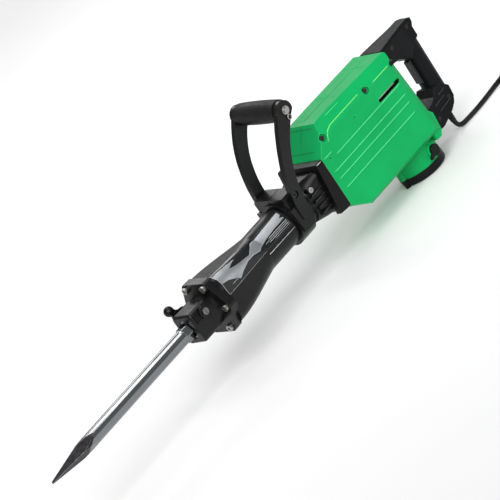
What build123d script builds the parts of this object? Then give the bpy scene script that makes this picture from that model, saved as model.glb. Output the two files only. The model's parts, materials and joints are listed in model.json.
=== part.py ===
from build123d import *
import math
import os

# Demolition hammer, millimetres. +X runs along the hammer axis from the tool mouth to the rear handle,
# +Z is away from the motor's tail, and the origin is the centre of the hexagonal tool mouth.

# Tool socket and chisel
HEX_FLATS = 30.0
SOCKET_CLEARANCE = 0.35
CHISEL_TIP_X = -416.0
CHISEL_POINT_LENGTH = 128.0
CHISEL_ROUND_R = 14.6
CHISEL_HEX_FRONT_X = -18.0
CHISEL_REAR_X = 119.0
RETAINER_X = 31.0
RETAINER_Z = 15.0
RETAINER_R = 6.5
CHISEL_TRAVEL = 22.0

# Stations along the hammer axis
FLANGE_X = 61.0
BARREL_X = 71.0
CASE_X = 342.5
BEZEL_X = 386.0
COVER_X = 400.0
COVER_REAR_X = 658.0

# Barrel and impact mechanism
FLANGE_BOLT_RADIUS = 52.0
FLANGE_BOLT_ANGLES = [-27 + 60 * k for k in range(6)]
BARREL_R = 39.5
LABEL_X0 = 82.0
LABEL_X1 = 285.0
LABEL_ANGLES = (7.0, 61.0)
SLEEVE_R = 35.0
BORE_R = 32.05
PISTON_R = 32.0
STRIKER_R = 31.98

# Motor cover
COVER_HALF_WIDTH = 62.0
COVER_TOP_Z = 104.5
COVER_REAR_TOP_Z = 99.0
COVER_BOTTOM_Z = -79.0
COVER_WALL = 3.5
COVER_REAR_CORNER_R = 26.0
COVER_POCKETS = [(433, 79), (566, 79)]
COVER_RIBS = [(405, 430, 50), (434, 632, 39.3), (408, 630, 18), (408, 628, 2), (408, 624, -19)]
SHOULDER_RIBS = [(459, 548, 58.4, 84), (587, 636, 61.6, 79)]
TOP_RIBS = [528, 614]
VENT_X0 = 574.0
VENT_X1 = 638.0
VENT_Z = 45.5

# Motor, gears and crank: axes are all parallel to Z
MOTOR_X = 602.0
MOTOR_R = 47.5
TAIL_Z = -134.0
TAIL_CAP_TOP_Z = -117.0
CRANK_THROW = 15.0
CONROD_LENGTH = 97.0
BRUSH_Z = -101.0
BRUSH_TURN = 11.0
PINION_TEETH = 13
IDLER_TEETH = 47
IDLER_PINION_TEETH = 12
CRANK_TEETH = 43
FAST_MODULE = 1.5
SLOW_MODULE = 2.0
IDLER_X = MOTOR_X - FAST_MODULE * (PINION_TEETH + IDLER_TEETH) / 2
CRANK_X = IDLER_X - SLOW_MODULE * (IDLER_PINION_TEETH + CRANK_TEETH) / 2

# Side handle
CLAMP_X0 = 290.0
CLAMP_X1 = 329.0
CLAMP_R = 46.5
CLAMP_SCREW_X = 315.0
CLAMP_SCREW_Z = 48.5
LOWER_SCREW_Z = -43.0
GRIP_X = 391.0
GRIP_Z = 182.5
GRIP_R = 22.0
HANDLE_LEAN = 3.5
ARM_THICKNESS = 12.0
ARM_FOOT_Y = 53.0
ARM_TOP_Y = 69.0

# Rear handle and cord
HANDLE_HALF_WIDTH = 19.5
HANDLE_ROOT_HALF_WIDTH = 33.5
HANDLE_TAPER_X0 = 665.0
HANDLE_TAPER_X1 = 735.0
GRIP_DEPTH = 39.0
GRIP_LEAN = 0.1
GRIP_MID_X = 729.5
HANDLE_SCREWS = [(686, 83), (746, 86), (727, -66), (676, -78)]
SWITCH_BOX = (724.5, 742.5, -10, 10, -30, 46)
LOCK_BUTTON_X = 735.0
LOCK_BUTTON_Z = 58.0
CORD_X = 717.0
CORD_R = 4.5
GUARD_END_Z = -112.0
CORD_LIE_Z = TAIL_Z + CORD_R + 0.2
COIL_X = 892.0
COIL_Y = -50.0
COIL_MID_R = 50.0
COIL_HALF_WIDTH = 14.0
COIL_HEIGHT = 17.4
PLUG_X0 = 790.0
PLUG_X1 = 840.0
PLUG_Y = COIL_Y - COIL_MID_R - 9.0

# Crank case details
PLUG_HOLE_X = 352.0
PLUG_HOLE_Z = 25.0
GEAR_PLATE_BOLTS = [(x, y) for x in (454, 538) for y in (-42, 42)]

os.makedirs("parts", exist_ok=True)


def save(name, *solids):
    """Writes one node as a STEP file of one or more solids."""
    found = [s for shape in solids for s in shape.solids()]
    export_step(Compound(children=found) if len(found) > 1 else found[0], f"parts/{name}.step")


def box(x0, x1, y0, y1, z0, z1):
    """A box between two corners."""
    return Pos((x0 + x1) / 2, (y0 + y1) / 2, (z0 + z1) / 2) * Box(x1 - x0, y1 - y0, z1 - z0)


def rod_x(x0, x1, r, y=0, z=0):
    """A round bar along X."""
    return Pos((x0 + x1) / 2, y, z) * Rot(0, 90, 0) * Cylinder(r, x1 - x0)


def rod_y(y0, y1, r, x=0, z=0):
    """A round bar along Y."""
    return Pos(x, (y0 + y1) / 2, z) * Rot(90, 0, 0) * Cylinder(r, y1 - y0)


def rod_z(z0, z1, r, x=0, y=0):
    """A round bar along Z."""
    return Pos(x, y, (z0 + z1) / 2) * Cylinder(r, z1 - z0)


def cone_x(x0, x1, r0, r1, y=0, z=0):
    """A taper along X, of radius r0 at x0 and r1 at x1."""
    return Pos((x0 + x1) / 2, y, z) * Rot(0, 90, 0) * Cone(r0, r1, x1 - x0)


def cone_y(y0, y1, r0, r1, x=0, z=0):
    """A taper along Y, of radius r0 at y0 and r1 at y1."""
    return Pos(x, (y0 + y1) / 2, z) * Rot(-90, 0, 0) * Cone(r0, r1, y1 - y0)


def hex_x(x0, x1, flats):
    """A hexagonal bar along X with flats facing +Z and -Z."""
    profile = Plane.YZ.offset(x0) * RegularPolygon(flats / math.sqrt(3), 6)
    return extrude(profile, amount=x1 - x0)


def slab_y(profile, y0, y1):
    """An XZ profile, drawn as (x, z), carried from y0 to y1."""
    return extrude(Plane.XZ.offset(-y1) * profile, amount=y1 - y0)


def slab_x(profile, x0, x1):
    """A YZ profile, drawn as (y, z), carried from x0 to x1."""
    return extrude(Plane.YZ.offset(x0) * profile, amount=x1 - x0)


def outline(points):
    """A flat face inside a closed run of straight edges."""
    return make_face(Polyline(*points, close=True))


def softened(solid, edges, sizes):
    """The solid with its edges rounded by the first size that the shape allows."""
    for size in sizes:
        try:
            rounded = fillet(edges, size)
            if rounded.is_valid:
                return rounded
        except Exception:
            continue
    return solid


def round_square(half, corner):
    """A square centred on the axis, with round corners."""
    return RectangleRounded(2 * half, 2 * half, corner)


def around_axis(angle, radius):
    """The (y, z) place at an angle from +Z towards -Y."""
    turn = math.radians(angle)
    return -radius * math.sin(turn), radius * math.cos(turn)


def socket_screw_x(x, y, z, shank_r, length, head_r, head_length):
    """A socket-head screw whose head stands in front of x and whose shank runs to +X."""
    head = rod_x(x - head_length, x, head_r, y, z)
    socket = Pos(x - head_length, y, z) * Rot(0, 90, 0) * extrude(RegularPolygon(head_r * 0.5, 6), amount=3)
    return head + rod_x(x, x + length, shank_r, y, z) - socket


def screw_y(x, y, z, side, shank_r, length, head_r, head_length):
    """A cross-head screw with its head's outer face at y; side is -1 when the head looks along -Y."""
    inner = y - side * head_length
    low, high = sorted((y, inner))
    shank_low, shank_high = sorted((inner, inner - side * length))
    slot_low, slot_high = sorted((y, y - side * 1.2))
    slot = box(x - head_r * 0.6, x + head_r * 0.6, slot_low, slot_high, z - 0.6, z + 0.6)
    slot += box(x - 0.6, x + 0.6, slot_low, slot_high, z - head_r * 0.6, z + head_r * 0.6)
    return rod_y(low, high, head_r, x, z) + rod_y(shank_low, shank_high, shank_r, x, z) - slot


# Chisel and its retainer


def chisel():
    shank = hex_x(CHISEL_HEX_FRONT_X, CHISEL_REAR_X, HEX_FLATS)
    shank &= rod_x(CHISEL_HEX_FRONT_X, CHISEL_REAR_X, 16.9) + cone_x(
        CHISEL_HEX_FRONT_X - 4, CHISEL_HEX_FRONT_X, 15.0, 17.0
    )
    notch_x0 = RETAINER_X - RETAINER_R - 0.4
    notch_x1 = RETAINER_X + RETAINER_R + CHISEL_TRAVEL + 0.4
    notch = box(notch_x0, notch_x1, -20, 20, RETAINER_Z - RETAINER_R - 0.4, 20)
    collar = cone_x(CHISEL_HEX_FRONT_X - 5, CHISEL_HEX_FRONT_X, CHISEL_ROUND_R, 15.0)
    shaft = rod_x(CHISEL_TIP_X, CHISEL_HEX_FRONT_X - 5, CHISEL_ROUND_R)
    point = CHISEL_POINT_LENGTH
    tip = 1.8
    wide = tip + (CHISEL_ROUND_R + 0.6 - tip) * 1.3
    taper = loft(
        [
            Plane.YZ.offset(CHISEL_TIP_X) * Rot(0, 0, 45) * Rectangle(2 * tip, 2 * tip),
            Plane.YZ.offset(CHISEL_TIP_X + point * 1.3) * Rot(0, 0, 45) * Rectangle(2 * wide, 2 * wide),
        ]
    )
    pointed = shaft & (taper + box(CHISEL_TIP_X + point * 1.29, 0, -30, 30, -30, 30))
    return pointed + collar + (shank - notch)


def retainer_pin():
    """The cross pin that holds the chisel, with a shallow half-moon that lets it out."""
    pin = rod_y(-37, 45.5, RETAINER_R, RETAINER_X, RETAINER_Z)
    end = box(RETAINER_X - 1, RETAINER_X + 1, -38, -35.5, RETAINER_Z - 5, RETAINER_Z + 5)
    return pin - end


def retainer_lever():
    """The finger lever on the cross pin's far end, with a ball knob."""
    reach = 21.0
    knob_x = RETAINER_X - reach * math.sin(math.radians(30))
    knob_z = RETAINER_Z + reach * math.cos(math.radians(30))
    hub = rod_y(45.5, 55, 11.5, RETAINER_X, RETAINER_Z)
    arm = slab_y(
        Pos((RETAINER_X + knob_x) / 2, (RETAINER_Z + knob_z) / 2) * Rot(0, 0, 120) * Rectangle(reach, 14),
        47,
        54,
    )
    return hub + arm + Pos(knob_x, 50.5, knob_z) * Sphere(10)


# Front cover, barrel and impact cylinder


def nose_block():
    block = slab_x(Pos(0, 0) * RectangleRounded(58, 62, 10), 0, 46)
    block = softened(block, block.edges().group_by(Axis.X)[0], [5, 3, 2])
    block_end = Plane.YZ.offset(40) * RectangleRounded(58, 60, 12)
    neck = loft([block_end, Plane.YZ.offset(FLANGE_X + 1) * Circle(35.4)])
    boss = cone_y(26, 43.5, 23, 12.5, RETAINER_X - 6, RETAINER_Z - 5)
    near_boss = rod_y(-33, -25, 11.5, RETAINER_X, RETAINER_Z)
    pocket = slab_y(Pos(15, RETAINER_Z + 1) * Rectangle(20, 20), -30, -26.5)
    ridges = [slab_y(Pos(x, RETAINER_Z + 1) * Rectangle(2.2, 20), -29.4, -26.0) for x in (9, 13.5, 18)]
    return block + neck + boss + near_boss - pocket + ridges


def front_flange():
    lobes = [Pos(*around_axis(a, FLANGE_BOLT_RADIUS)) * Circle(10.5) for a in FLANGE_BOLT_ANGLES]
    hull = make_hull([e for lobe in lobes for e in lobe.edges()])
    return slab_x(hull, FLANGE_X, BARREL_X)


def front_cover():
    body = nose_block() + front_flange()
    body -= rod_x(2, BARREL_X + 1, 24)
    body -= rod_x(-1, 2.5, 20.5)
    body -= rod_y(-60, 60, RETAINER_R + 0.06, RETAINER_X, RETAINER_Z)
    for a in FLANGE_BOLT_ANGLES:
        y, z = around_axis(a, FLANGE_BOLT_RADIUS)
        body -= rod_x(FLANGE_X - 20, BARREL_X + 1, 4.3, y, z)
        body -= rod_x(FLANGE_X - 20, FLANGE_X + 2, 8.2, y, z)
    return body


def front_cover_bolts():
    return [
        socket_screw_x(FLANGE_X + 2, *around_axis(a, FLANGE_BOLT_RADIUS), 4, 16, 6.6, 8.5)
        for a in FLANGE_BOLT_ANGLES
    ]


def tool_holder():
    """The hardened sleeve with the hexagonal socket in front and a round bore behind."""
    sleeve = rod_x(2.5, 152, 24) - hex_x(0, 120, HEX_FLATS + 2 * SOCKET_CLEARANCE)
    sleeve -= rod_x(119.5, 153, 17.6)
    return sleeve - rod_y(-40, 40, RETAINER_R + 0.06, RETAINER_X, RETAINER_Z)


def barrel_flare(skin):
    """The front of the cylinder case, from nearly square to round, or its outer form with a skin on it."""
    stations = [(76, 50.5, 22), (108, 48.5, 20), (150, 44.5, 24), (208, BARREL_R + 0.4, BARREL_R + 0.1)]
    sections = [Plane.YZ.offset(x) * round_square(half + skin, corner + skin) for x, half, corner in stations]
    return loft(sections)


def barrel_case():
    """The cylinder case: square at the front flange and round at the clamp."""
    lobes = [Pos(*around_axis(a, FLANGE_BOLT_RADIUS)) * Circle(10.0) for a in FLANGE_BOLT_ANGLES]
    flange = slab_x(make_hull([e for lobe in lobes for e in lobe.edges()]), BARREL_X, 80)
    case = barrel_flare(0) + flange + rod_x(205, CASE_X, BARREL_R)
    case += [box(206, 286, y0, y1, -3.6, -1.6) for y0, y1 in ((-40.9, -36), (36, 40.9))]
    case -= rod_x(BARREL_X - 1, 152, 24)
    case -= rod_x(152, CASE_X + 1, SLEEVE_R)
    for a in FLANGE_BOLT_ANGLES:
        y, z = around_axis(a, FLANGE_BOLT_RADIUS)
        case -= rod_x(BARREL_X - 1, 79.5, 4.0, y, z)
    return case


def label_plate():
    """The plain plate let onto the near face of the barrel case."""
    low, high = (math.radians(a) for a in LABEL_ANGLES)
    rim = [(0, 0), (-90 * math.cos(low), 90 * math.sin(low)), (-90 * math.cos(high), 90 * math.sin(high))]
    skin = (barrel_flare(0.8) + rod_x(205, LABEL_X1 + 5, BARREL_R + 0.8)) & slab_x(outline(rim), LABEL_X0, LABEL_X1)
    return skin - barrel_flare(0) - rod_x(200, LABEL_X1 + 5, BARREL_R)


def cylinder_sleeve():
    return rod_x(160, 415, SLEEVE_R) - rod_x(159, 416, BORE_R)


def damper_ring():
    return rod_x(152, 160, SLEEVE_R) - rod_x(151, 161, 18.5)


def intermediate_hammer():
    stem = rod_x(CHISEL_REAR_X + 0.5, 164, 17.55)
    head = rod_x(162, 186, STRIKER_R)
    return fillet((stem + head).edges().filter_by(GeomType.CIRCLE).group_by(Axis.X)[0], 2)


def striker():
    body = rod_x(216, 276, STRIKER_R)
    body -= rod_x(256, 261, STRIKER_R + 1) - rod_x(255, 262, STRIKER_R - 3)
    return chamfer(body.edges().filter_by(GeomType.CIRCLE).group_by(Axis.X)[0], 3)


def piston():
    """The driven piston: a cup that is open at the rear, where the connecting rod works."""
    body = rod_x(334, 410, PISTON_R) - rod_x(346, 411, 27.5)
    for x in (338.5, 398):
        body -= rod_x(x, x + 4, PISTON_R + 1) - rod_x(x - 1, x + 5, PISTON_R - 2)
    return body


# Crank case

def crank_case():
    """The throat behind the cylinder, and the crank chamber that the bearing plate closes."""
    throat = loft(
        [
            Plane.YZ.offset(CASE_X) * round_square(BARREL_R, 32),
            Plane.YZ.offset(360) * round_square(42.0, 22),
            Plane.YZ.offset(388) * Pos(0, -1) * RectangleRounded(95, 88, 14),
        ]
    )
    body = throat + box(387, 444.6, -47, 47, -44.5, 43) + box(440, 545, -47, 47, -44.5, 30)
    for y0, y1 in ((-47.5, -36), (36, 47.5)):
        body += [box(346, 386, y0, y1, z - 1.6, z + 1.6) for z in (13, 0, -13, -26)]
    body += rod_y(-48, -36, 6.5, PLUG_HOLE_X, PLUG_HOLE_Z)
    body -= rod_x(CASE_X - 1, 420, SLEEVE_R)
    body -= rod_x(415, 445, PISTON_R + 1)
    body -= box(418, 535, -37, 37, -32, 27)
    body -= rod_z(26, 31, 33, CRANK_X)
    body -= rod_y(-49, -34, 3.0, PLUG_HOLE_X, PLUG_HOLE_Z)
    for x, y in GEAR_PLATE_BOLTS:
        body -= rod_z(19, 31, 2.6, x, y)
    return body


def oil_plug():
    return screw_y(PLUG_HOLE_X, -51, PLUG_HOLE_Z, -1, 3.0, 12, 5.2, 3)


def crank_case_bolts():
    """The screws that hold the gear plate down on the crank case."""
    return [
        rod_z(44, 46.5, 4.5, x, y) + rod_z(20, 44, 2.6, x, y) - rod_z(45.5, 49, 2.6, x, y)
        for x, y in GEAR_PLATE_BOLTS
    ]


def gear_plate():
    """The bearing plate over the crank chamber that carries the crank, idler and armature bearings."""
    plate = box(445, 628, -48.5, 48.5, 30, 44)
    plate = fillet(plate.edges().filter_by(Axis.Z), 8)
    plate -= rod_z(29, 45, 21, CRANK_X) + rod_z(32, 45, 13, IDLER_X) + rod_z(32, 45, 16, MOTOR_X)
    plate -= rod_z(29, 45, 9, MOTOR_X)
    for x, y in GEAR_PLATE_BOLTS:
        plate -= rod_z(29, 45, 2.6, x, y)
    return plate


def gear_cover():
    """The deep lid over the gears, with a seat for the idler's upper bearing."""
    shell = box(445, 630, -52, 52, 44, 90)
    shell = chamfer(shell.edges().group_by(Axis.Z)[-1].filter_by(Axis.X), 14)
    inner = box(449, 626, -48.5, 48.5, 43, 84)
    inner = chamfer(inner.edges().group_by(Axis.Z)[-1].filter_by(Axis.X), 11)
    shell -= inner
    shell += rod_z(77, 86, 16, IDLER_X)
    return shell - rod_z(76, 84, 13, IDLER_X)


# Crank, gears and armature


def gear_profile(teeth, module):
    """Flat-faced gear teeth around a root circle; the tooth is a little under half the pitch."""
    pitch_r = teeth * module / 2
    tip_r = pitch_r + 0.95 * module
    root_r = pitch_r - 1.2 * module
    step = 2 * math.pi / teeth
    half_root = step * 0.36
    half_pitch = step * 0.225
    half_tip = step * 0.11
    points = []
    for k in range(teeth):
        middle = k * step
        for radius, turn in (
            (root_r, -half_root),
            (pitch_r, -half_pitch),
            (tip_r, -half_tip),
            (tip_r, half_tip),
            (pitch_r, half_pitch),
            (root_r, half_root),
        ):
            points.append((radius * math.cos(middle + turn), radius * math.sin(middle + turn)))
    return outline(points)


def gear(teeth, module, x, z0, z1, bore_r, turn):
    """A spur gear about Z, turned so that it meshes with its neighbour."""
    blank = extrude(Rot(0, 0, turn) * gear_profile(teeth, module), amount=z1 - z0)
    return Pos(x, 0, z0) * blank - rod_z(z0 - 1, z1 + 1, bore_r, x)


def mesh_turn(teeth):
    """The turn, in degrees, that puts a tooth gap of a gear on its +X side."""
    return 180 / teeth


def crankshaft():
    shaft = rod_z(20, 66, 12, CRANK_X)
    web = rod_z(9.6, 22, 27, CRANK_X)
    pin = rod_z(-9, 12, 8, CRANK_X - CRANK_THROW)
    washer = rod_z(-10.5, -9, 11, CRANK_X - CRANK_THROW)
    return shaft + web + pin + washer


def crank_gear():
    wheel = gear(CRANK_TEETH, SLOW_MODULE, CRANK_X, 47, 60, 12, mesh_turn(CRANK_TEETH))
    for k in range(6):
        turn = math.radians(60 * k)
        x = CRANK_X + 26 * math.cos(turn)
        wheel -= rod_z(46, 61, 7, x, 26 * math.sin(turn))
    return wheel


def conrod():
    """The connecting rod, from the crank pin forward to the piston pin."""
    big_x = CRANK_X - CRANK_THROW
    small_x = big_x - CONROD_LENGTH
    rod = rod_z(-8.6, 9.2, 13.5, big_x) + rod_z(-8, 8, 9, small_x) + box(small_x, big_x, -5, 5, -6, 6)
    return rod - rod_z(-12, 12, 8.06, big_x) - rod_z(-12, 12, 5, small_x)


def piston_pin():
    return rod_z(-14, 14, 5, CRANK_X - CRANK_THROW - CONROD_LENGTH)


def idler_shaft():
    shaft = rod_z(33, 83, 6, IDLER_X)
    pinion = gear(IDLER_PINION_TEETH, SLOW_MODULE, IDLER_X, 46, 61, 5, 0)
    return shaft + pinion


def idler_gear():
    return gear(IDLER_TEETH, FAST_MODULE, IDLER_X, 63.5, 74, 6, mesh_turn(IDLER_TEETH))


def armature_shaft():
    shaft = rod_z(-127, 62, 7, MOTOR_X)
    pinion = gear(PINION_TEETH, FAST_MODULE, MOTOR_X, 62, 76, 4, 180 if PINION_TEETH % 2 else 0)
    return shaft + pinion + rod_z(60, 76, 4.5, MOTOR_X)


def armature_core():
    core = rod_z(-66, 2, 28.5, MOTOR_X) - rod_z(-67, 3, 7, MOTOR_X)
    for k in range(18):
        turn = math.radians(20 * k)
        x = MOTOR_X + 27.5 * math.cos(turn)
        core -= rod_z(-67, 3, 1.3, x, 27.5 * math.sin(turn))
    return core


def armature_winding():
    lower = rod_z(-80, -66, 24, MOTOR_X) - rod_z(-81, -65, 7, MOTOR_X)
    upper = rod_z(2, 12, 24, MOTOR_X) - rod_z(1, 13, 7, MOTOR_X)
    return fillet(lower.edges().group_by(Axis.Z)[0], 4), fillet(upper.edges().group_by(Axis.Z)[-1], 4)


def commutator():
    ring = rod_z(-112, -82, 17, MOTOR_X) - rod_z(-113, -81, 7, MOTOR_X)
    for k in range(24):
        turn = 15 * k
        ring -= Pos(MOTOR_X, 0, -98) * Rot(0, 0, turn) * Pos(17, 0, 0) * Box(2, 0.6, 26)
    return ring


def cooling_fan():
    hub = rod_z(13, 26, 14, MOTOR_X) - rod_z(12, 27, 7, MOTOR_X)
    disc = rod_z(13, 15, 40, MOTOR_X) - rod_z(12, 16, 13.5, MOTOR_X)
    blades = [
        Pos(MOTOR_X, 0, 20) * Rot(0, 0, 30 * k) * Pos(26, 0, 0) * Rot(0, 0, 18) * Box(26, 2, 11)
        for k in range(12)
    ]
    return hub + disc + blades


def ball_bearings():
    rings = [
        (CRANK_X, 30.5, 43.5, 21, 12),
        (IDLER_X, 33, 43, 13, 6),
        (IDLER_X, 77, 83.5, 13, 6),
        (MOTOR_X, 33, 43.5, 16, 7),
        (MOTOR_X, -127, -117.5, 13, 7),
    ]
    return [rod_z(z0, z1, outer, x) - rod_z(z0 - 1, z1 + 1, inner, x) for x, z0, z1, outer, inner in rings]


def stator_core():
    ring = rod_z(-66, 0, MOTOR_R - 4, MOTOR_X) - rod_z(-67, 1, 29.2, MOTOR_X)
    for side in (-1, 1):
        ring -= Pos(MOTOR_X + side * 34, 0, -33) * Box(6, 40, 70)
    return ring


def field_coils():
    coils = []
    for side in (-1, 1):
        bundle = Pos(MOTOR_X + side * 34, 0, -33) * Box(5.8, 39.6, 78)
        coils.append(bundle)
    return coils


def brush_turned(shape):
    """Turns a piece on the brushes' line round the motor's axis, to where the brushes are."""
    return Pos(MOTOR_X, 0, 0) * Rot(0, 0, BRUSH_TURN) * Pos(-MOTOR_X, 0, 0) * shape


def motor_housing():
    """The motor's tube, with bosses for the brush caps and lugs for the tail screws."""
    tube = rod_z(TAIL_CAP_TOP_Z, 26, MOTOR_R, MOTOR_X)
    for side in (-1, 1):
        boss = rod_y(*sorted((side * 38, side * 52.5)), 14.5, MOTOR_X, BRUSH_Z)
        tube += brush_turned(softened(boss, boss.edges().filter_by(GeomType.CIRCLE), [2.5, 1.5]))
        tube += rod_z(TAIL_CAP_TOP_Z, -96, 6, MOTOR_X + side * MOTOR_R)
    tube -= rod_z(TAIL_CAP_TOP_Z - 1, 27, MOTOR_R - 4, MOTOR_X)
    for side in (-1, 1):
        tube -= rod_z(TAIL_CAP_TOP_Z - 1, -100, 2.2, MOTOR_X + side * (MOTOR_R + 0.5))
        tube -= brush_turned(rod_y(*sorted((side * 30, side * 54)), 8, MOTOR_X, BRUSH_Z))
    return tube


def brush_holders():
    holders = []
    for side in (-1, 1):
        holder = rod_y(*sorted((side * 19, side * 47)), 7.9, MOTOR_X, BRUSH_Z)
        holders.append(brush_turned(holder - Pos(MOTOR_X, side * 33, BRUSH_Z) * Box(8, 32, 10)))
    return holders


def carbon_brushes():
    return [brush_turned(Pos(MOTOR_X, side * 28, BRUSH_Z) * Box(7.6, 20, 9.6)) for side in (-1, 1)]


def brush_caps():
    """The round brush caps, each with a finger wing."""
    caps = []
    for side in (-1, 1):
        plug = rod_y(*sorted((side * 47.5, side * 54)), 7.9, MOTOR_X, BRUSH_Z)
        head = rod_y(*sorted((side * 52.5, side * 58)), 11.5, MOTOR_X, BRUSH_Z)
        circles = head.edges().filter_by(GeomType.CIRCLE).sort_by(Axis.Y)
        head = softened(head, circles[-1 if side > 0 else 0], [1.5, 1])
        wing = Pos(MOTOR_X - 12, BRUSH_Z - 4) * Rot(0, 0, 20) * SlotOverall(19, 7)
        caps.append(brush_turned(plug + head + slab_y(wing, *sorted((side * 53, side * 57)))))
    return caps


def tail_cap():
    """The motor's lower end cap, which carries the lower bearing and has cooling slots."""
    cap = rod_z(TAIL_Z, TAIL_CAP_TOP_Z, MOTOR_R + 0.5, MOTOR_X)
    cap = softened(cap, cap.edges().filter_by(GeomType.CIRCLE).group_by(Axis.Z)[0], [5, 3])
    cap -= rod_z(-129, TAIL_CAP_TOP_Z + 1, MOTOR_R - 4, MOTOR_X)
    cap += rod_z(-130, -118, 16, MOTOR_X)
    cap -= rod_z(-127.5, -117, 13, MOTOR_X)
    for side in (-1, 1):
        screw_x = MOTOR_X + side * (MOTOR_R + 0.5)
        cap += rod_z(TAIL_Z, TAIL_CAP_TOP_Z, 5.4, screw_x)
        cap -= rod_z(TAIL_Z - 1, TAIL_CAP_TOP_Z + 1, 2.2, screw_x)
        cap -= rod_z(TAIL_Z - 1, TAIL_Z + 4, 4.2, screw_x)
    for k in range(-3, 4):
        cap -= box(MOTOR_X - 24, MOTOR_X + 24, 9 * k - 2, 9 * k + 2, TAIL_Z - 1, TAIL_Z + 2)
    return cap


def tail_cap_screws():
    screws = []
    for side in (-1, 1):
        x = MOTOR_X + side * (MOTOR_R + 0.5)
        screws.append(rod_z(TAIL_Z + 1, TAIL_Z + 4, 3.9, x) + rod_z(TAIL_Z + 4, -101, 2.1, x))
    return screws


# Motor cover


def cover_block(inset):
    """The cover's outer form, or its inner form when inset by the wall."""
    top = COVER_TOP_Z - inset
    rear_top = COVER_REAR_TOP_Z - inset
    bottom = COVER_BOTTOM_Z + inset
    rear = COVER_REAR_X - inset
    side = outline(
        [
            (COVER_X - 5 + inset * 0.8, -49 + inset * 0.6),
            (COVER_X + 2 + inset * 0.8, 55 - inset * 0.4),
            (448 + inset * 0.7, top - 2),
            (460 + inset * 0.7, top),
            (rear - 5, rear_top),
            (rear, rear_top - 5),
            (rear, bottom),
            (438 + inset * 0.5, bottom),
        ]
    )
    half = COVER_HALF_WIDTH - inset
    bend = inset * 0.5
    section = outline(
        [
            (-half + 7, bottom),
            (-half, bottom + 7),
            (-half, 79 - bend),
            (-57 + inset, 87 - bend),
            (-39 + bend, top - 1),
            (-34 + bend, top),
            (34 - bend, top),
            (39 - bend, top - 1),
            (57 - inset, 87 - bend),
            (half, 79 - bend),
            (half, bottom + 7),
            (half - 7, bottom),
        ]
    )
    corner = COVER_REAR_CORNER_R - inset
    plan = Pos(rear - 200, 0) * RectangleRounded(400, 2 * half, corner)
    block = slab_y(side, -80, 80) & slab_x(section, COVER_X - 10, COVER_REAR_X + 10)
    return block & (Pos(0, 0, -150) * extrude(plan, amount=300))


def rear_lobe(side):
    """The lobe of the cover half that stands beside the rear handle's foot."""
    profile = outline([(630, -42), (652, -42), (657, -50), (651, -84), (643, -93), (630, -93)])
    lobe = slab_y(profile, *sorted((side * 36, side * 54)))
    return softened(lobe, lobe.edges().filter_by(Axis.Z), [6, 4])


def cover_shell():
    """Both halves of the motor cover as one shell, with its ribs, pockets and vents."""
    shell = cover_block(0) + [rear_lobe(side) for side in (-1, 1)]
    for side in (-1, 1):
        low, high = sorted((side * 58, side * (COVER_HALF_WIDTH + 1.2)))
        for x0, x1, z in COVER_RIBS:
            shell += slab_y(Pos((x0 + x1) / 2, z) * SlotOverall(x1 - x0, 2.4), low, high)
        for x0, x1, y, z in SHOULDER_RIBS:
            shell += rod_x(x0, x1, 1.5, side * y, z)
    for x in TOP_RIBS:
        shell += rod_y(-33, 33, 1.0, x, COVER_TOP_Z - (x - 460) * (COVER_TOP_Z - COVER_REAR_TOP_Z) / 193)
    shell -= cover_block(COVER_WALL)
    for side in (-1, 1):
        for x, z in COVER_POCKETS:
            shell += rod_y(*sorted((side * 52.0, side * 60)), 11, x, z) & cover_block(0)
    shell -= box(COVER_X - 12, COVER_X + 9, -49, 49, -46.5, 44)
    shell -= rod_z(-95, -40, MOTOR_R + 0.4, MOTOR_X)
    shell -= box(COVER_REAR_X - 10, COVER_REAR_X + 8, -15, 15, 64, 92)
    shell -= box(COVER_REAR_X - 10, COVER_REAR_X + 8, -12, 12, -74, -52)
    for side in (-1, 1):
        for x, z in COVER_POCKETS:
            shell -= rod_y(*sorted((side * 54.5, side * 70)), 8, x, z)
            shell -= rod_y(*sorted((side * 50, side * 70)), 2.6, x, z)
        vent = Pos((VENT_X0 + VENT_X1) / 2, VENT_Z) * SlotOverall(VENT_X1 - VENT_X0, 9)
        shell -= slab_y(vent, *sorted((side * 50, side * 70)))
        for x, z in ((513, 60), (419, 42)):
            shell -= rod_y(*sorted((side * 50, side * 70)), 1.8, x, z)
    return shell


def cover_half(shell, side):
    low, high = sorted((0, side * 90))
    return shell & box(380, 700, low, high, -150, 150)


def cover_screws():
    return [
        screw_y(x, side * 57.6, z, side, 2.5, 2.5, 4.6, 3.0) for side in (-1, 1) for x, z in COVER_POCKETS
    ]


def cover_clips():
    """The small black catches at the cover's rear corners."""
    clips = []
    for side in (-1, 1):
        clip = box(640, 651, *sorted((side * 52, side * 63)), 74, 81)
        clips.append(clip - cover_block(-0.02))
    return clips


def bezel():
    """The black frame in front of the cover, around the crank case; it is deeper below than above."""
    side = outline([(BEZEL_X, 55), (BEZEL_X - 19, -45), (COVER_X - 5.2, -49.5), (COVER_X + 1.8, 55)])
    frame = slab_x(Pos(0, 2) * RectangleRounded(2 * COVER_HALF_WIDTH - 1, 103, 7), BEZEL_X - 20, COVER_X + 5)
    frame &= slab_y(side, -70, 70)
    return frame - slab_x(Pos(0, -1.5) * RectangleRounded(97, 91, 4), BEZEL_X - 30, COVER_X + 10)


# Rear handle


def handle_half_width(x):
    """Half the rear handle's width, which narrows from the cover to the grip."""
    share = (x - HANDLE_TAPER_X0) / (HANDLE_TAPER_X1 - HANDLE_TAPER_X0)
    share = min(max(share, 0.0), 1.0)
    return HANDLE_ROOT_HALF_WIDTH + share * (HANDLE_HALF_WIDTH - HANDLE_ROOT_HALF_WIDTH)


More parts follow.
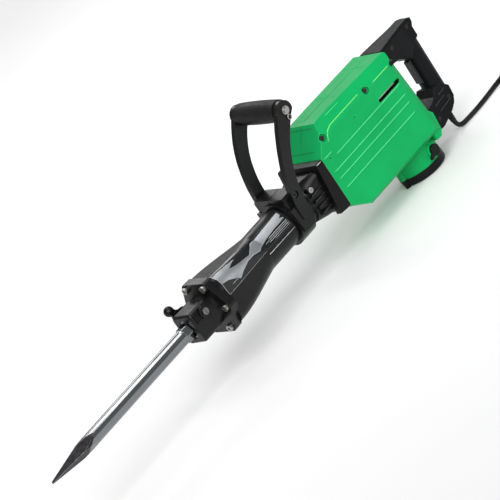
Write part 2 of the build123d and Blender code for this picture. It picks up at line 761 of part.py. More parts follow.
def handle_plan(extra):
    """The rear handle's form from above, from the cover to its rear end."""
    root = HANDLE_ROOT_HALF_WIDTH + extra
    end = HANDLE_HALF_WIDTH + extra
    points = [(HANDLE_TAPER_X0, root), (HANDLE_TAPER_X1, end), (780, end)]
    points = [(COVER_REAR_X + 0.1, root), *points]
    face = outline(points + [(x, -y) for x, y in reversed(points)])
    return Pos(0, 0, -150) * extrude(face, amount=300)


def handle_blocks():
    """The upper and lower arms of the rear handle, which run from the cover to the grip."""
    x0 = COVER_REAR_X - 1
    upper = outline(
        [
            (x0, 97.5),
            (755, 97),
            (764, 93.5),
            (762.5, 85),
            (757, 78),
            (755, 58),
            (735, 50),
            (712, 36),
            (704, 43),
            (686, 57),
            (x0, 62),
        ]
    )
    lower = outline(
        [
            (x0, -47),
            (680, -47),
            (695, -42),
            (706, -30),
            (730, -36),
            (742, -50),
            (738, -71),
            (730, -80),
            (715, -87),
            (676, -94),
            (x0, -92),
        ]
    )
    blocks = []
    for face in (upper, lower):
        block = slab_y(face, -40, 40) & handle_plan(0)
        rim = [e for e in block.edges() if abs(e.center().Y) > HANDLE_HALF_WIDTH - 0.5 and e.length > 6]
        blocks.append(softened(block, [e for e in rim if e.center().X > COVER_REAR_X + 1], [5, 4, 3, 2]))
    return blocks


def handle_ribs():
    """Three low ribs on each side of the lower arm."""
    runs = ((706, 728, -47), (684, 718, -56), (687, 727, -70))
    ribs = [box(x0, x1, -40, 40, z - 1.2, z + 1.2) for x0, x1, z in runs]
    skin = handle_plan(1.0)
    return [rib & skin for rib in ribs]


def grip_centre(z):
    return GRIP_MID_X + GRIP_LEAN * z


def handle_grip():
    """The upright grip: a rounded section that leans back as it rises."""
    sections = [
        Plane.XY.offset(z)
        * Pos(grip_centre(z), 0)
        * RectangleRounded(GRIP_DEPTH, 2 * HANDLE_HALF_WIDTH, 17.5)
        for z in (-62, 72)
    ]
    return loft(sections)


def handle_body():
    body = handle_grip()
    for part in (*handle_blocks(), *handle_ribs()):
        body += part
    return body


def handle_half(body, side):
    """One half-shell of the rear handle, with room for the switch, trigger, cord and screws."""
    half = body & box(600, 800, *sorted((0, side * 60)), -150, 150)
    half -= box(*SWITCH_BOX)
    half -= rod_z(GUARD_END_Z, -29, 7, CORD_X)
    half -= box(696, SWITCH_BOX[0] + 0.5, -8.3, 8.3, -16.1, 34.1)
    if side > 0:
        half -= rod_y(8, 30, 6.2, LOCK_BUTTON_X, LOCK_BUTTON_Z)
    for x, z in HANDLE_SCREWS:
        half -= rod_y(*sorted((0, side * 40)), 2.1, x, z)
        if side < 0:
            half -= rod_y(-45, -handle_half_width(x) + 5, 4.6, x, z)
    return half


def handle_screws():
    return [screw_y(x, -handle_half_width(x) + 1.5, z, -1, 2.0, 24, 4.4, 3) for x, z in HANDLE_SCREWS]


def switch_block():
    x0, x1, y0, y1, z0, z1 = SWITCH_BOX
    return box(x0 + 0.5, x1 - 0.5, y0 + 0.5, y1 - 0.5, z0 + 1, z1 - 1)


def trigger():
    """The long trigger in the front of the grip, which leans as the grip does."""
    face = outline([(704.8, -15.5), (709.6, 33.5), (719, 33.5), (719, -15.5)])
    lever = slab_y(face, -8, 8)
    front = [e for e in lever.edges() if e.center().X < 712 and abs(e.center().Y) < 0.1]
    return softened(lever, front, [3, 2, 1])


def lock_button():
    return rod_y(12.5, 22.5, 6, LOCK_BUTTON_X, LOCK_BUTTON_Z)


def cord_guard():
    """The tapered rubber strain relief below the rear handle."""
    x = CORD_X
    collar = rod_z(-93, -80, 6.9, x)
    taper = Pos(x, 0, (GUARD_END_Z - 93) / 2) * Cone(5.4, 6.9, -93 - GUARD_END_Z)
    body = collar + taper
    for z in (-98, -103, -108):
        body -= rod_z(z - 1, z + 1, 9, x) - rod_z(z - 2, z + 2, 5.2, x)
    return body - rod_z(-120, -70, CORD_R, x)


# Cord, coil and plug


def cord_route():
    x = CORD_X
    z = CORD_LIE_Z
    return [
        (x, 0, GUARD_END_Z),
        (x, 0, GUARD_END_Z - 8.5),
        (x + 7, -0.5, z),
        (x + 26, -3, z),
        (x + 58, -4, z),
        (x + 96, 1, z),
        (x + 134, 7.5, z),
        (COIL_X - 2, COIL_Y + COIL_MID_R + 9, z),
    ]


def cord_radii(points):
    """Each bend's radius: 0.45 of its shorter run over the tangent of half its turn."""
    radii = []
    for a, b, c in zip(points, points[1:], points[2:]):
        before = Vector(*b) - Vector(*a)
        after = Vector(*c) - Vector(*b)
        half_turn = math.radians(before.get_angle(after)) / 2
        radii.append(0.45 * min(before.length, after.length) / math.tan(half_turn))
    return radii


def cord_coil():
    """The outer form of the wound cord: a low ring lying flat."""
    outer = COIL_MID_R + COIL_HALF_WIDTH
    inner = COIL_MID_R - COIL_HALF_WIDTH
    base = CORD_LIE_Z - CORD_R
    ring = rod_z(base, base + COIL_HEIGHT, outer, COIL_X, COIL_Y)
    ring -= rod_z(base - 1, base + COIL_HEIGHT + 1, inner, COIL_X, COIL_Y)
    return fillet(ring.edges().filter_by(GeomType.CIRCLE), 4)


def cord(coil):
    """The straight and bent run from the guard to the coil, and the short end into the plug."""
    points = cord_route()
    radii = cord_radii(points)
    print("cord radii", [round(r, 1) for r in radii])
    path = FilletPolyline(*points, radius=radii)
    section = Plane(origin=points[0], z_dir=(0, 0, -1)) * Circle(CORD_R)
    tube = sweep(section, path=path)
    share = tube.volume / (math.pi * CORD_R**2 * path.length)
    print("cord run", round(path.length, 1), "volume check", round(share, 4))
    tail = rod_x(PLUG_X1, COIL_X, CORD_R, PLUG_Y, CORD_LIE_Z + 8)
    inside = rod_z(-110, -50, CORD_R, CORD_X) & box(600, 800, -20, 20, GUARD_END_Z, -60)
    return inside + (tube - coil), max((tail - coil).solids(), key=lambda s: s.volume)


def plug_body():
    z = CORD_LIE_Z + 8
    grip = cone_x(PLUG_X0 + 16, PLUG_X1 - 10, 12.4, 9, PLUG_Y, z)
    face = slab_x(Pos(PLUG_Y, z) * RectangleRounded(34, 24.6, 9), PLUG_X0, PLUG_X0 + 16)
    relief = cone_x(PLUG_X1 - 10, PLUG_X1, 8, 5.5, PLUG_Y, z)
    return grip + face + relief


def plug_pins():
    z = CORD_LIE_Z + 8
    return [rod_x(PLUG_X0 - 19, PLUG_X0, 2.4, PLUG_Y + side * 9.5, z) for side in (-1, 1)]


# Side handle


def arm_outline():
    """One arm's side view: narrow, curved and round at the grip."""
    foot_x0 = CLAMP_X0 + 13
    front = Polyline((foot_x0, 0), (foot_x0, 30))
    front_arc = ThreePointArc((foot_x0, 30), (321, 103), (GRIP_X - 18.5, GRIP_Z + 2))
    crown = ThreePointArc((GRIP_X - 18.5, GRIP_Z + 2), (GRIP_X + 2, GRIP_Z + 18.5), (GRIP_X + 17, GRIP_Z - 8))
    back_arc = ThreePointArc((GRIP_X + 17, GRIP_Z - 8), (348, 106), (CLAMP_X1, 22))
    back = Polyline((CLAMP_X1, 22), (CLAMP_X1, 0), (foot_x0, 0))
    return make_face([*front.edges(), front_arc, crown, back_arc, *back.edges()])


def arm_band(side):
    """The arm seen from the front: it stands out further at the grip than at the clamp."""
    steps = [(-60, ARM_FOOT_Y), (22, ARM_FOOT_Y), (70, 60.5), (121, 67), (150, ARM_TOP_Y), (230, ARM_TOP_Y)]
    outer = [(side * y, z) for z, y in steps]
    inner = [(side * (y - ARM_THICKNESS), z) for z, y in reversed(steps)]
    return slab_x(outline(outer + inner), CLAMP_X0 - 20, GRIP_X + 40)


def clamp_half(side):
    """Half of the ring that grips the barrel, with an ear for the clamp screw."""
    ring = rod_x(CLAMP_X0, CLAMP_X1, CLAMP_R)
    ear = box(CLAMP_X0 + 4, CLAMP_X1, -ARM_FOOT_Y + 9, ARM_FOOT_Y - 9, 30, 55)
    ear = chamfer(ear.edges().filter_by(Axis.X).group_by(Axis.Z)[-1], 5)
    return (ring + ear) & box(280, 360, *sorted((side * 0.8, side * 80)), -80, 80)


def handle_arm(side):
    """One arm with its half of the clamp."""
    arm = slab_y(arm_outline(), *sorted((side * 30, side * 90))) & arm_band(side)
    rim = [e for e in arm.edges() if abs(e.center().Y) > ARM_FOOT_Y - 2 and e.length > 25]
    arm = softened(arm, rim, [3, 2, 1.2])
    skirt = outline([(CLAMP_X0, 30), (CLAMP_X1, 30), (CLAMP_X1, 4), (CLAMP_X1 - 8, -20), (CLAMP_X0 + 3, -20)])
    arm += slab_y(skirt, *sorted((side * 30, side * (ARM_FOOT_Y - 3))))
    arm += clamp_half(side)
    arm -= rod_x(CLAMP_X0 - 15, CLAMP_X1 + 5, BARREL_R + 0.4)
    arm -= rod_y(-90, 90, 3.7, CLAMP_SCREW_X, CLAMP_SCREW_Z)
    arm -= rod_y(*sorted((side * (ARM_FOOT_Y - 3), side * 80)), 7.2, CLAMP_SCREW_X, CLAMP_SCREW_Z)
    arm -= rod_y(-90, 90, 1.6, CLAMP_SCREW_X, LOWER_SCREW_Z)
    arm -= rod_y(*sorted((side * 9, side * 80)), 3.4, CLAMP_SCREW_X, LOWER_SCREW_Z)
    return arm - rod_y(-90, 90, 6.1, GRIP_X, GRIP_Z)


def clamp_screws():
    """Two cross screws with nuts, over and under the barrel."""
    screws = []
    for z, reach, r, rim in ((CLAMP_SCREW_Z, ARM_FOOT_Y - 3, 3.6, 2.6), (LOWER_SCREW_Z, 9, 1.5, 1.3)):
        head = rod_y(-reach - 3.6, -reach, r + rim, CLAMP_SCREW_X, z)
        hexagon = extrude(RegularPolygon(r * 0.8, 6), amount=2.4)
        socket = Pos(CLAMP_SCREW_X, -reach - 3.6, z) * Rot(-90, 0, 0) * hexagon
        nut = Pos(CLAMP_SCREW_X, reach, z) * Rot(-90, 0, 0) * extrude(RegularPolygon(r + rim, 6), amount=3.6)
        screws.append(head - socket + rod_y(-reach, reach, r, CLAMP_SCREW_X, z) + nut)
    return screws


def side_grip():
    """The rubber sleeve on the grip bolt, slightly fuller in the middle."""
    reach = ARM_TOP_Y - ARM_THICKNESS
    profile = Plane.XY * make_face(
        [
            Line((0, -reach), (0, reach)),
            Line((0, reach), (GRIP_R - 1.5, reach)),
            ThreePointArc((GRIP_R - 1.5, reach), (GRIP_R, 0), (GRIP_R - 1.5, -reach)),
            Line((GRIP_R - 1.5, -reach), (0, -reach)),
        ]
    )
    sleeve = Pos(GRIP_X, 0, GRIP_Z) * revolve(profile, axis=Axis.Y)
    return sleeve - rod_y(-70, 70, 6, GRIP_X, GRIP_Z)


def grip_bolt():
    shank = rod_y(-ARM_TOP_Y, ARM_TOP_Y + 6, 6, GRIP_X, GRIP_Z)
    head = rod_y(-ARM_TOP_Y - 4, -ARM_TOP_Y, 8, GRIP_X, GRIP_Z)
    head += rod_y(-ARM_TOP_Y - 7, -ARM_TOP_Y - 4, 5.5, GRIP_X, GRIP_Z)
    nut = Pos(GRIP_X, ARM_TOP_Y, GRIP_Z) * Rot(-90, 0, 0) * extrude(RegularPolygon(10, 6), amount=7)
    return shank + head + nut


def split_pin():
    """The ring of the split pin that hangs below the grip bolt's head."""
    x = GRIP_X
    z = GRIP_Z - 15.5
    ring = Pos(x, -ARM_TOP_Y - 2, z) * Rot(90, 0, 0) * Torus(4.2, 1.1)
    return ring + rod_z(z + 3.8, z + 7.4, 1.1, x, -ARM_TOP_Y - 2)


shell = cover_shell()
rear_handle = handle_body()
coil = cord_coil()
winding_lower, winding_upper = armature_winding()

save("chisel", chisel())
save("retainer_pin", retainer_pin())
save("retainer_lever", retainer_lever())
save("front_cover", front_cover())
save("front_cover_bolts", *front_cover_bolts())
save("tool_holder", tool_holder())
save("barrel_case", barrel_case())
save("label_plate", label_plate())
save("cylinder_sleeve", cylinder_sleeve())
save("damper_ring", damper_ring())
save("intermediate_hammer", intermediate_hammer())
save("striker", striker())
save("piston", piston())
save("crank_case", crank_case())
save("crank_case_bolts", *crank_case_bolts())
save("oil_plug", oil_plug())
save("gear_plate", gear_plate())
save("gear_cover", gear_cover())
save("crankshaft", crankshaft())
save("crank_gear", crank_gear())
save("conrod", conrod())
save("piston_pin", piston_pin())
save("idler_shaft", idler_shaft())
save("idler_gear", idler_gear())
save("armature_shaft", armature_shaft())
save("armature_core", armature_core())
save("armature_winding", winding_lower, winding_upper)
save("commutator", commutator())
save("cooling_fan", cooling_fan())
save("ball_bearings", *ball_bearings())
save("stator_core", stator_core())
save("field_coils", *field_coils())
save("motor_housing", motor_housing())
save("brush_holders", *brush_holders())
save("carbon_brushes", *carbon_brushes())
save("brush_caps", *brush_caps())
save("tail_cap", tail_cap())
save("tail_cap_screws", *tail_cap_screws())
save("cover_near", cover_half(shell, -1))
save("cover_far", cover_half(shell, 1))
save("cover_screws", *cover_screws())
save("cover_clips", *cover_clips())
save("bezel", bezel())
save("handle_near", handle_half(rear_handle, -1))
save("handle_far", handle_half(rear_handle, 1))
save("handle_screws", *handle_screws())
save("switch_block", switch_block())
save("trigger", trigger())
save("lock_button", lock_button())
save("cord_guard", cord_guard())
save("cord", *cord(coil))
save("cord_coil", coil)
save("plug_body", plug_body())
save("plug_pins", *plug_pins())
lean = Rot(HANDLE_LEAN, 0, 0)
save("arm_near", lean * handle_arm(-1))
save("arm_far", lean * handle_arm(1))
save("clamp_screws", *[lean * screw for screw in clamp_screws()])
save("side_grip", lean * side_grip())
save("grip_bolt", lean * grip_bolt())
save("split_pin", lean * split_pin())
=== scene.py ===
import json
import math

import bmesh
import bpy
from mathutils import Matrix, Vector


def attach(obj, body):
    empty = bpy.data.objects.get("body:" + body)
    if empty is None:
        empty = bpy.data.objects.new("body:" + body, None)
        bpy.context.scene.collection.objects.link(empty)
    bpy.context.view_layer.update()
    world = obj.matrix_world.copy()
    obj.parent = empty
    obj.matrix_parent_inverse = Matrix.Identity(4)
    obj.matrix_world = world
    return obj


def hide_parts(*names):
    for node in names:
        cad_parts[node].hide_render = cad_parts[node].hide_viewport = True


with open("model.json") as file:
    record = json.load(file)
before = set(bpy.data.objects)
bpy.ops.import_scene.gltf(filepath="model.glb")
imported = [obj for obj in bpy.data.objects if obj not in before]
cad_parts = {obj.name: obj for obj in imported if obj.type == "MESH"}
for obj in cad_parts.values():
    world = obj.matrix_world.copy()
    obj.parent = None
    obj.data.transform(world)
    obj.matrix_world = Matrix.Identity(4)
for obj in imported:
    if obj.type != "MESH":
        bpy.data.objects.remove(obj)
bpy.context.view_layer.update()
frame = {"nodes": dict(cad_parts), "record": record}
nodes = frame["nodes"]
scene = bpy.context.scene
scene.view_settings.view_transform = "Standard"

FLOOR_Z = -0.1342
SIDES = ((-1, "near"), (1, "far"))

# Camera: where it looks, its turn, height and roll in degrees, its distance and the width it sees
AIM = (0.2, 0.0, 0.0)
AZIMUTH = -31.27
ELEVATION = 18.66
ROLL = 37.2
DISTANCE = 24.0
VIEW_WIDTH = 0.9
SENSOR_MM = 36.0
SHIFT_X = -0.0074
SHIFT_Y = 0.01618
FAR_CLIP = 200.0


def new_object(name, data):
    made = bpy.data.objects.new(name, data)
    scene.collection.objects.link(made)
    return made


def new_camera():
    """A long lens far away, because the view has almost no perspective."""
    data = bpy.data.cameras.new("camera")
    camera = new_object("camera", data)
    turn, rise, roll = (math.radians(a) for a in (AZIMUTH, ELEVATION, ROLL))
    back = Vector((math.sin(turn) * math.cos(rise), -math.cos(turn) * math.cos(rise), math.sin(rise)))
    level = back.to_track_quat("Z", "Y").to_matrix().to_4x4()
    place = Matrix.Translation(Vector(AIM) + back * DISTANCE)
    camera.matrix_world = place @ level @ Matrix.Rotation(-roll, 4, "Z")
    data.sensor_width = SENSOR_MM
    data.lens = SENSOR_MM * DISTANCE / VIEW_WIDTH
    data.shift_x = SHIFT_X
    data.shift_y = SHIFT_Y
    data.clip_end = FAR_CLIP
    scene.camera = camera


new_camera()

# Cord: down from the guard, along the floor, then the wound turns and the short end into the plug
CORD_R = 0.0045
CORD_LIE_Z = -0.1293
ROUTE = [
    (0.717, 0.0, -0.112),
    (0.717, 0.0, -0.1205),
    (0.724, -0.0005, CORD_LIE_Z),
    (0.743, -0.003, CORD_LIE_Z),
    (0.775, -0.004, CORD_LIE_Z),
    (0.813, 0.001, CORD_LIE_Z),
    (0.851, 0.0075, CORD_LIE_Z),
]
COIL_X = 0.892
COIL_Y = -0.050
COIL_OUTER_R = 0.059
COIL_PITCH = 0.006
LAYER_TURNS = 3
LAYER_RISE = 0.0078
CLIMB_START = 2.85
CLIMB_TURNS = 0.3
TURN_POINTS = 16
PLUG_RISE = 0.008
PLUG_REACHES = (0.028, 0.052)


def coil_point(k, radius, rise):
    """A point k steps round the coil; rise is nought in the lower layer and one in the upper."""
    angle = math.pi / 2 - 2 * math.pi * k / TURN_POINTS
    x = COIL_X + radius * math.cos(angle)
    y = COIL_Y + radius * math.sin(angle)
    return (x, y, CORD_LIE_Z + LAYER_RISE * rise)


def coil_points():
    """A layer of turns winding inwards on the floor, one winding outwards on top, and half a turn more."""
    points = []
    for k in range(2 * LAYER_TURNS * TURN_POINTS + 1):
        turn = k / TURN_POINTS
        radius = COIL_OUTER_R - COIL_PITCH * (LAYER_TURNS - abs(LAYER_TURNS - turn))
        rise = min(max((turn - CLIMB_START) / CLIMB_TURNS, 0.0), 1.0)
        points.append(coil_point(k, radius, rise))
    return points + [coil_point(k, COIL_OUTER_R, 1.0) for k in range(1, TURN_POINTS // 2 + 1)]


def new_cord():
    """The mains lead: one smooth spline through the run on the floor, the coil and the end in the plug."""
    ends = [(COIL_X - reach, COIL_Y - COIL_OUTER_R, CORD_LIE_Z + PLUG_RISE) for reach in PLUG_REACHES]
    points = [*ROUTE, *coil_points(), *ends]
    curve = bpy.data.curves.new("mains_lead", "CURVE")
    curve.dimensions = "3D"
    spline = curve.splines.new("NURBS")
    spline.points.add(len(points) - 1)
    for point, place in zip(spline.points, points):
        point.co = (*place, 1.0)
        point.radius = CORD_R
    spline.order_u = 3
    spline.use_endpoint_u = True
    spline.resolution_u = 6
    # The depth is one metre times each point's radius, so that the curve's box has the cord's size
    curve.bevel_depth = 1.0
    curve.bevel_resolution = 4
    curve.use_fill_caps = True
    return new_object("mains_lead", curve)


lead = new_cord()
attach(lead, "housing")
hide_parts("cord", "cord_coil")

# Materials


class Paint:
    """A Principled material whose patterns are all in the piece's own coordinates."""

    def __init__(self, name, metal=0.0, **sockets):
        self.material = bpy.data.materials.new(name)
        self.material.use_nodes = True
        self.tree = self.material.node_tree
        self.shader = self.tree.nodes["Principled BSDF"]
        self.shader.inputs["Metallic"].default_value = metal
        for socket, value in sockets.items():
            self.shader.inputs[socket.replace("_", " ")].default_value = value
        self.place = self.node("ShaderNodeTexCoord").outputs["Object"]

    def set_or_link(self, socket, value):
        if isinstance(value, bpy.types.NodeSocket):
            self.tree.links.new(value, socket)
        else:
            socket.default_value = value

    def node(self, kind, inputs=(), **settings):
        made = self.tree.nodes.new(kind)
        for setting, value in settings.items():
            setattr(made, setting, value)
        for socket, value in dict(inputs).items():
            self.set_or_link(made.inputs[socket], value)
        return made

    def stretched(self, scale):
        """Object coordinates, finer along some axes than along others."""
        return self.node("ShaderNodeMapping", {"Vector": self.place, "Scale": scale}).outputs[0]

    def noise(self, scale, detail=3.0, rough=0.55, place=None):
        inputs = {"Vector": place or self.place, "Scale": scale, "Detail": detail, "Roughness": rough}
        return self.node("ShaderNodeTexNoise", inputs).outputs[0]

    def ramp(self, value, low, high, to_low=0.0, to_high=1.0):
        inputs = {"Value": value, "From Min": low, "From Max": high, "To Min": to_low, "To Max": to_high}
        return self.node("ShaderNodeMapRange", inputs).outputs[0]

    def mix(self, share, one, two):
        """A colour between one and two, each a colour or another node's output."""
        made = self.node("ShaderNodeMix", data_type="RGBA")
        factor, first, second = (made.inputs[k] for k in (0, 6, 7))
        self.set_or_link(factor, share)
        for socket, colour in ((first, one), (second, two)):
            self.set_or_link(socket, (*colour, 1.0) if isinstance(colour, tuple) else colour)
        return made.outputs[2]

    def math(self, operation, one, two=0.0):
        return self.node("ShaderNodeMath", {0: one, 1: two}, operation=operation).outputs[0]

    def edges(self, radius=0.0012, low=0.02, high=0.12):
        """One on a convex or concave edge, nought on a flat face, from a rounded normal."""
        rounded = self.node("ShaderNodeBevel", {"Radius": radius}, samples=4).outputs[0]
        flat = self.node("ShaderNodeNewGeometry").outputs["Normal"]
        dot = self.node("ShaderNodeVectorMath", {0: rounded, 1: flat}, operation="DOT_PRODUCT")
        return self.ramp(dot.outputs["Value"], 1 - low, 1 - high)

    def colour(self, value):
        self.tree.links.new(value, self.shader.inputs["Base Color"])

    def roughness(self, value):
        self.tree.links.new(value, self.shader.inputs["Roughness"])

    def relief(self, height, depth, round_edges=0.0007):
        """Bump over slightly rounded edges."""
        inputs = {"Height": height, "Strength": 1.0, "Distance": depth}
        if round_edges:
            inputs["Normal"] = self.node("ShaderNodeBevel", {"Radius": round_edges}, samples=4).outputs[0]
        bump = self.node("ShaderNodeBump", inputs)
        self.tree.links.new(bump.outputs[0], self.shader.inputs["Normal"])


def scaled(tone, factor, lift=0.0):
    """A paler or deeper tone."""
    return tuple(factor * c + lift for c in tone)


def enamel(name, deep, worn, gloss, orange_peel=0.00004, wear=0.45):
    """Sprayed enamel on a casting: orange peel, a little dust, and rubbed edges."""
    paint = Paint(name, Specular_IOR_Level=0.22, Coat_Weight=0.06, Coat_Roughness=0.2)
    cloud = paint.ramp(paint.noise(9.0, 4), 0.35, 0.7)
    body = paint.mix(cloud, deep, scaled(deep, 1.5, 0.001))
    patches = paint.ramp(paint.noise(60.0, 4), 0.4, 0.66, 0.0, wear)
    rubbed = paint.math("MULTIPLY", paint.edges(0.0011, 0.04, 0.3), patches)
    paint.colour(paint.mix(rubbed, body, worn))
    paint.roughness(paint.ramp(paint.noise(26.0, 5), 0.3, 0.72, gloss - 0.06, gloss + 0.1))
    paint.relief(paint.math("ADD", paint.noise(420.0, 2), paint.noise(1400.0, 1)), orange_peel)
    return paint.material


def moulded(name, deep, highlight_tone, gloss, painted_highlight_strength=0.5, grain=2600.0, depth=0.00002, coat=0.0, shine=0.3):
    """Injection-moulded plastic: fine grain, soft mottling, and edges mixed towards a paler tone as a painted
    highlight.
    """
    paint = Paint(name, Specular_IOR_Level=shine, Coat_Weight=coat, Coat_Roughness=0.12)
    mottle = paint.ramp(paint.noise(14.0, 5), 0.3, 0.7)
    body = paint.mix(mottle, deep, scaled(deep, 1.16, 0.0006))
    # Edges mixed towards the paler tone: a painted highlight.
    painted_edge_highlight = paint.math("MULTIPLY", paint.edges(0.0013, 0.03, 0.2), painted_highlight_strength)
    paint.colour(paint.mix(painted_edge_highlight, body, highlight_tone))
    paint.roughness(paint.ramp(paint.noise(38.0, 4), 0.3, 0.7, gloss - 0.05, gloss + 0.07))
    paint.relief(paint.noise(grain, 2), depth)
    return paint.material


def turned(name, tone, gloss, along=(30.0, 1400.0, 1400.0), stain=0.25, depth=0.000008, edge=(0.8, 0.8, 0.8)):
    """Ground or turned metal: fine lines along one axis, faint stains, and edges mixed towards a brighter tone
    as a painted highlight.
    """
    paint = Paint(name, metal=1.0)
    lines = paint.noise(1.0, 3, place=paint.stretched(along))
    stains = paint.ramp(paint.noise(22.0, 5), 0.45, 0.75, 0.0, stain)
    body = paint.mix(stains, tone, scaled(tone, 0.35))
    # Edges mixed towards the edge tone: a painted highlight.
    bright = paint.math("MULTIPLY", paint.edges(0.0008, 0.04, 0.3), 0.5)
    paint.colour(paint.mix(bright, body, edge))
    paint.roughness(paint.ramp(lines, 0.25, 0.75, gloss - 0.05, gloss + 0.12))
    paint.relief(lines, depth, 0.0004)
    return paint.material


def rubbery(name, tone, gloss, grain=900.0, depth=0.00006, rings=0.0):
    """Rubber: matt, finely pebbled, greyer where rubbed, and ringed across Y where rings isn't nought."""
    paint = Paint(name, Specular_IOR_Level=0.22)
    rub = paint.ramp(paint.noise(30.0, 5), 0.42, 0.74, 0.0, 0.6)
    paint.colour(paint.mix(rub, tone, scaled(tone, 2.2)))
    paint.roughness(paint.ramp(paint.noise(70.0, 3), 0.3, 0.7, gloss - 0.07, gloss + 0.07))
    pebbles = paint.node("ShaderNodeTexVoronoi", {"Vector": paint.place, "Scale": grain}).outputs["Distance"]
    height = paint.math("ADD", pebbles, paint.noise(grain * 2, 2))
    if rings:
        wave = paint.node("ShaderNodeTexWave", {"Vector": paint.place, "Scale": rings}, bands_direction="Y")
        grooves = paint.math("MULTIPLY", paint.ramp(wave.outputs["Fac"], 0.1, 0.5), 7.0)
        height = paint.math("ADD", height, grooves)
    paint.relief(height, depth, 0.0005)
    return paint.material


def copper_wire(name, tone, axis_scale):
    """Enamelled winding wire: close parallel turns with a varnished sheen."""
    paint = Paint(name, metal=0.85, Coat_Weight=0.5, Coat_Roughness=0.15)
    inputs = {"Vector": paint.stretched(axis_scale), "Scale": 1.0, "Distortion": 0.6, "Detail": 2.0}
    turns = paint.node("ShaderNodeTexWave", inputs).outputs["Fac"]
    paint.colour(paint.mix(turns, scaled(tone, 0.25), tone))
    paint.roughness(paint.ramp(paint.noise(80.0, 3), 0.3, 0.7, 0.22, 0.4))
    paint.relief(turns, 0.0003, 0.0)
    return paint.material


def laminated(name):
    """Stacked steel laminations: thin dark lines across Z."""
    paint = Paint(name, metal=0.9)
    wave = paint.node("ShaderNodeTexWave", {"Vector": paint.place, "Scale": 320.0}, bands_direction="Z")
    sheets = paint.ramp(wave.outputs["Fac"], 0.1, 0.6)
    paint.colour(paint.mix(sheets, (0.05, 0.05, 0.055), (0.3, 0.31, 0.33)))
    paint.roughness(paint.ramp(paint.noise(50.0, 4), 0.3, 0.7, 0.32, 0.5))
    paint.relief(sheets, 0.00008, 0.0)
    return paint.material


def dark_pointed_bar(name, point_x=-0.2955, border=0.004, bow=95.0):
    """The chisel: a bright ground bar that turns darker towards its point, past an edge that bows forward off
    the middle.
    """
    paint = Paint(name, metal=1.0)
    lines = paint.noise(1.0, 3, place=paint.stretched((26.0, 1500.0, 1500.0)))
    parts = paint.node("ShaderNodeSeparateXYZ", {0: paint.place}).outputs
    across = paint.math("ABSOLUTE", paint.math("ADD", paint.math("MULTIPLY", parts["Y"], 0.75), parts["Z"]))
    bowed = paint.math("MULTIPLY", paint.math("POWER", across, 2.0), bow)
    point = paint.ramp(paint.math("ADD", parts["X"], bowed), point_x, point_x - border)
    stains = paint.ramp(paint.noise(15.0, 5), 0.45, 0.8, 0.0, 0.4)
    point_mottle = paint.ramp(paint.noise(120.0, 5), 0.35, 0.7)
    bar = paint.mix(stains, (0.22, 0.23, 0.237), (0.16, 0.165, 0.17))
    point_tone = paint.mix(point_mottle, (0.026, 0.024, 0.026), (0.058, 0.056, 0.059))
    # Edges mixed towards pale grey: a painted highlight.
    painted_edge_highlight = paint.math("MULTIPLY", paint.edges(0.0012, 0.02, 0.15), 0.8)
    paint.colour(paint.mix(painted_edge_highlight, paint.mix(point, bar, point_tone), (0.62, 0.62, 0.63)))
    grind = paint.ramp(lines, 0.25, 0.75, 0.1, 0.19)
    paint.roughness(paint.math("ADD", grind, paint.math("MULTIPLY", point, 0.25)))
    pits = paint.math("MULTIPLY", point_mottle, point)
    paint.relief(paint.math("ADD", paint.math("MULTIPLY", lines, 0.04), pits), 0.00008, 0.0)
    return paint.material


GREEN = moulded(
    "green_nylon", (0.0008, 0.318, 0.084), (0.10, 0.72, 0.27), 0.38,
    painted_highlight_strength=0.85, grain=2200.0, depth=0.000012, shine=0.13,
)  # fmt: skip
BLACK_CAST = enamel("black_enamel", (0.0026, 0.0026, 0.003), (0.07, 0.07, 0.072), 0.3)
BLACK_MOULDED = moulded(
    "black_nylon", (0.0028, 0.0028, 0.0032), (0.045, 0.045, 0.047), 0.4,
    painted_highlight_strength=0.6, grain=1500.0, depth=0.00003, shine=0.17,
)  # fmt: skip
HANDLE_BLACK = moulded(
    "handle_nylon", (0.0034, 0.0037, 0.0044), (0.045, 0.05, 0.056), 0.42,
    painted_highlight_strength=0.55, grain=1300.0, depth=0.00004, shine=0.12,
)  # fmt: skip
STEEL = turned("ground_steel", (0.2, 0.2, 0.205), 0.3)
ZINC = turned(
    "zinc_plate", (0.36, 0.355, 0.34), 0.3,
    along=(500.0, 500.0, 500.0), stain=0.35, depth=0.00001, edge=(0.9, 0.9, 0.88),
)  # fmt: skip
BLACKENED = turned(
    "blackened_steel", (0.055, 0.052, 0.05), 0.34,
    along=(400.0, 400.0, 400.0), stain=0.3, depth=0.00001, edge=(0.2, 0.2, 0.2),
)  # fmt: skip
GEAR_STEEL = turned("cut_steel", (0.42, 0.42, 0.43), 0.3, along=(700.0, 700.0, 60.0), stain=0.4)
BEARING = turned("bearing_steel", (0.7, 0.7, 0.72), 0.14, along=(600.0, 600.0, 90.0), stain=0.1)
ALUMINIUM = turned(
    "die_cast_aluminium", (0.62, 0.63, 0.64), 0.38, along=(260.0, 260.0, 260.0), stain=0.2, depth=0.00004
)
